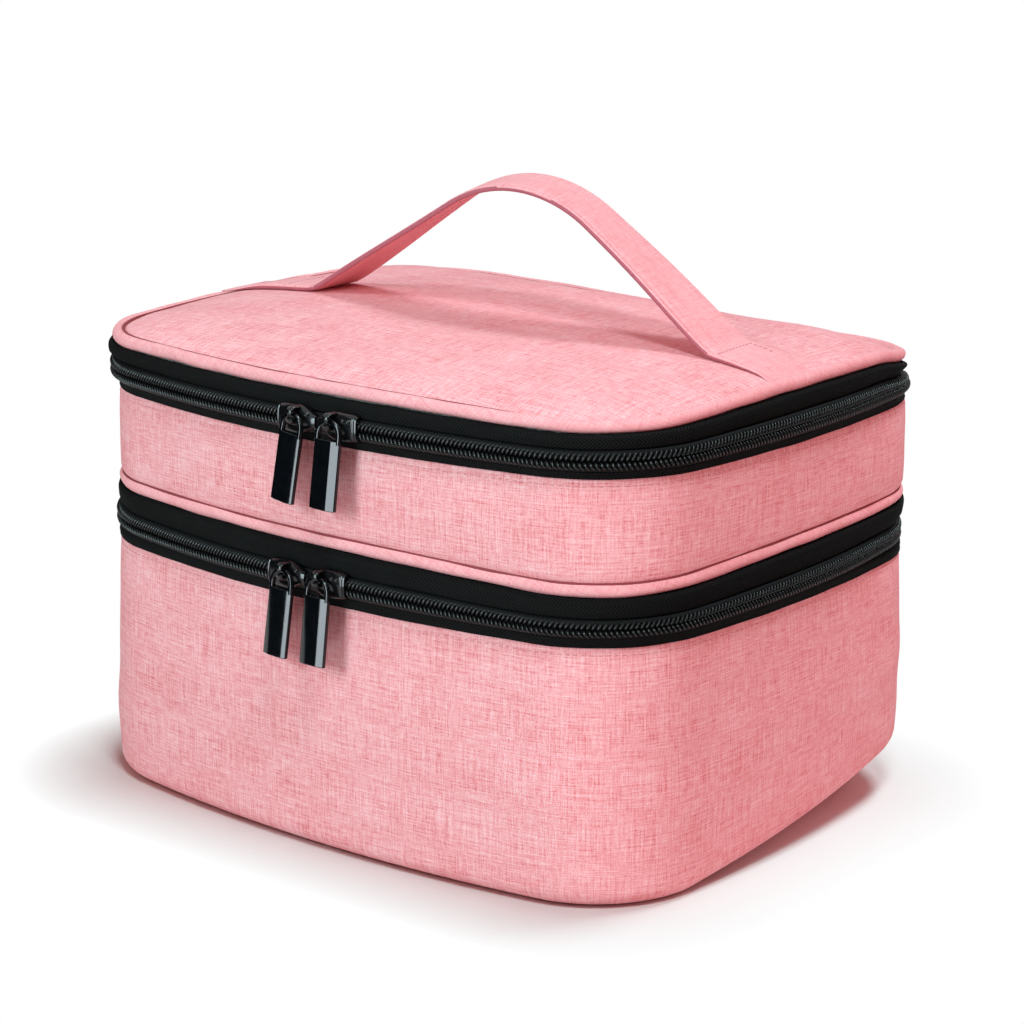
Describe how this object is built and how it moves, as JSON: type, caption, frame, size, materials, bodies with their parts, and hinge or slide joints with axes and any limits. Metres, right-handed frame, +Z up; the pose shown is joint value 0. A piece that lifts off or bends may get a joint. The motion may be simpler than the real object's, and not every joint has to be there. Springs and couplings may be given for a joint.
{
  "type": "two-tier storage case",
  "caption": "Soft two-tier zipped storage case: lower box, hinged tray and lid, coil zips with pull sliders, and a strap handle on the lid.",
  "frame": {"origin": "centre of the case's footprint, on the surface it stands on", "axes": "+Z up, +X along the strap and the long side, front with the zip pulls at -Y, hinges at +Y"},
  "size_m": [0.2736, 0.2207, 0.226],
  "materials": {
    "pink_cloth": "woven heather cloth over foam",
    "pink_piping": "woven cloth over a cord",
    "pink_webbing": "stitched strap",
    "lining_cloth": "plain woven lining",
    "divider_cloth": "brushed padded cloth",
    "stiff_board": "plain sheet",
    "foam": "open foam",
    "binding_tape": "ribbed tape",
    "zip_tape": "herringbone tape",
    "zip_coil": "satin nylon coil",
    "hinge_cloth": "plain woven cloth",
    "slider_metal": "gloss black",
    "pull_metal": "gloss black"
  },
  "bodies": {
    "lower_box": {"lower_wall": "pink_cloth", "lower_base": "pink_cloth", "base_board": "stiff_board", "lower_lining": "lining_cloth", "lower_floor_lining": "lining_cloth", "lower_rim_binding": "binding_tape", "lower_zip_lower_tape": "zip_tape", "lower_zip_lower_coil": "zip_coil", "lower_hinge_cloth_bottom": "hinge_cloth", "divider_long": "divider_cloth", "divider_front_left": "divider_cloth", "divider_front_right": "divider_cloth", "divider_back_left": "divider_cloth", "divider_back_right": "divider_cloth"},
    "tray": {"tray_wall": "pink_cloth", "tray_floor": "pink_cloth", "tray_board": "stiff_board", "tray_lining": "lining_cloth", "tray_floor_lining": "lining_cloth", "tray_piping": "pink_piping", "tray_floor_binding": "binding_tape", "tray_rim_binding": "binding_tape", "lower_zip_upper_tape": "zip_tape", "lower_zip_upper_coil": "zip_coil", "upper_zip_lower_tape": "zip_tape", "upper_zip_lower_coil": "zip_coil", "lower_hinge_cloth_top": "hinge_cloth", "upper_hinge_cloth_bottom": "hinge_cloth"},
    "lid": {"lid_cover": "pink_cloth", "lid_board": "stiff_board", "lid_foam": "foam", "lid_lining": "lining_cloth", "lid_piping": "pink_piping", "lid_binding": "binding_tape", "upper_zip_upper_tape": "zip_tape", "upper_zip_upper_coil": "zip_coil", "upper_hinge_cloth_top": "hinge_cloth", "handle_strap": "pink_webbing"},
    "slider_upper_right": {"slider_upper_right": "slider_metal"},
    "pull_upper_right": {"pull_upper_right": "pull_metal"},
    "slider_upper_left": {"slider_upper_left": "slider_metal"},
    "pull_upper_left": {"pull_upper_left": "pull_metal"},
    "slider_lower_right": {"slider_lower_right": "slider_metal"},
    "pull_lower_right": {"pull_lower_right": "pull_metal"},
    "slider_lower_left": {"slider_lower_left": "slider_metal"},
    "pull_lower_left": {"pull_lower_left": "pull_metal"}
  },
  "joints": [
    {"name": "tray_hinge", "type": "hinge", "parent": "lower_box", "child": "tray", "pos_m": [0, 0.1045, 0.09915], "axis": [-1, 0, 0], "range_deg": [0, 100]},
    {"name": "lid_hinge", "type": "hinge", "parent": "tray", "child": "lid", "pos_m": [0, 0.1045, 0.15475], "axis": [-1, 0, 0], "range_deg": [0, 110]},
    {"name": "slider_upper_left_travel", "type": "hinge", "parent": "tray", "child": "slider_upper_left", "pos_m": [0, 0.447, 0.15475], "axis": [0, 0, 1], "range_deg": [-8.7, 0]},
    {"name": "slider_upper_right_travel", "type": "hinge", "parent": "tray", "child": "slider_upper_right", "pos_m": [0, 0.447, 0.15475], "axis": [0, 0, 1], "range_deg": [0, 6.6]},
    {"name": "slider_lower_left_travel", "type": "hinge", "parent": "lower_box", "child": "slider_lower_left", "pos_m": [0, 0.447, 0.09915], "axis": [0, 0, 1], "range_deg": [-8.1, 0]},
    {"name": "slider_lower_right_travel", "type": "hinge", "parent": "lower_box", "child": "slider_lower_right", "pos_m": [0, 0.447, 0.09915], "axis": [0, 0, 1], "range_deg": [0, 7.2]},
    {"name": "pull_upper_left_swing", "type": "hinge", "parent": "slider_upper_left", "child": "pull_upper_left", "pos_m": [0.00203, -0.11114, 0.15785], "axis": [-1, -0.0036, 0], "range_deg": [0, 150]},
    {"name": "pull_upper_right_swing", "type": "hinge", "parent": "slider_upper_right", "child": "pull_upper_right", "pos_m": [0.01826, -0.11084, 0.15785], "axis": [-0.9995, -0.0327, 0], "range_deg": [0, 150]},
    {"name": "pull_lower_left_swing", "type": "hinge", "parent": "slider_lower_left", "child": "pull_lower_left", "pos_m": [-0.00406, -0.11113, 0.10225], "axis": [-1, 0.0073, 0], "range_deg": [0, 150]},
    {"name": "pull_lower_right_swing", "type": "hinge", "parent": "slider_lower_right", "child": "pull_lower_right", "pos_m": [0.01218, -0.11101, 0.10225], "axis": [-0.9998, -0.0218, 0], "range_deg": [0, 150]}
  ]
}
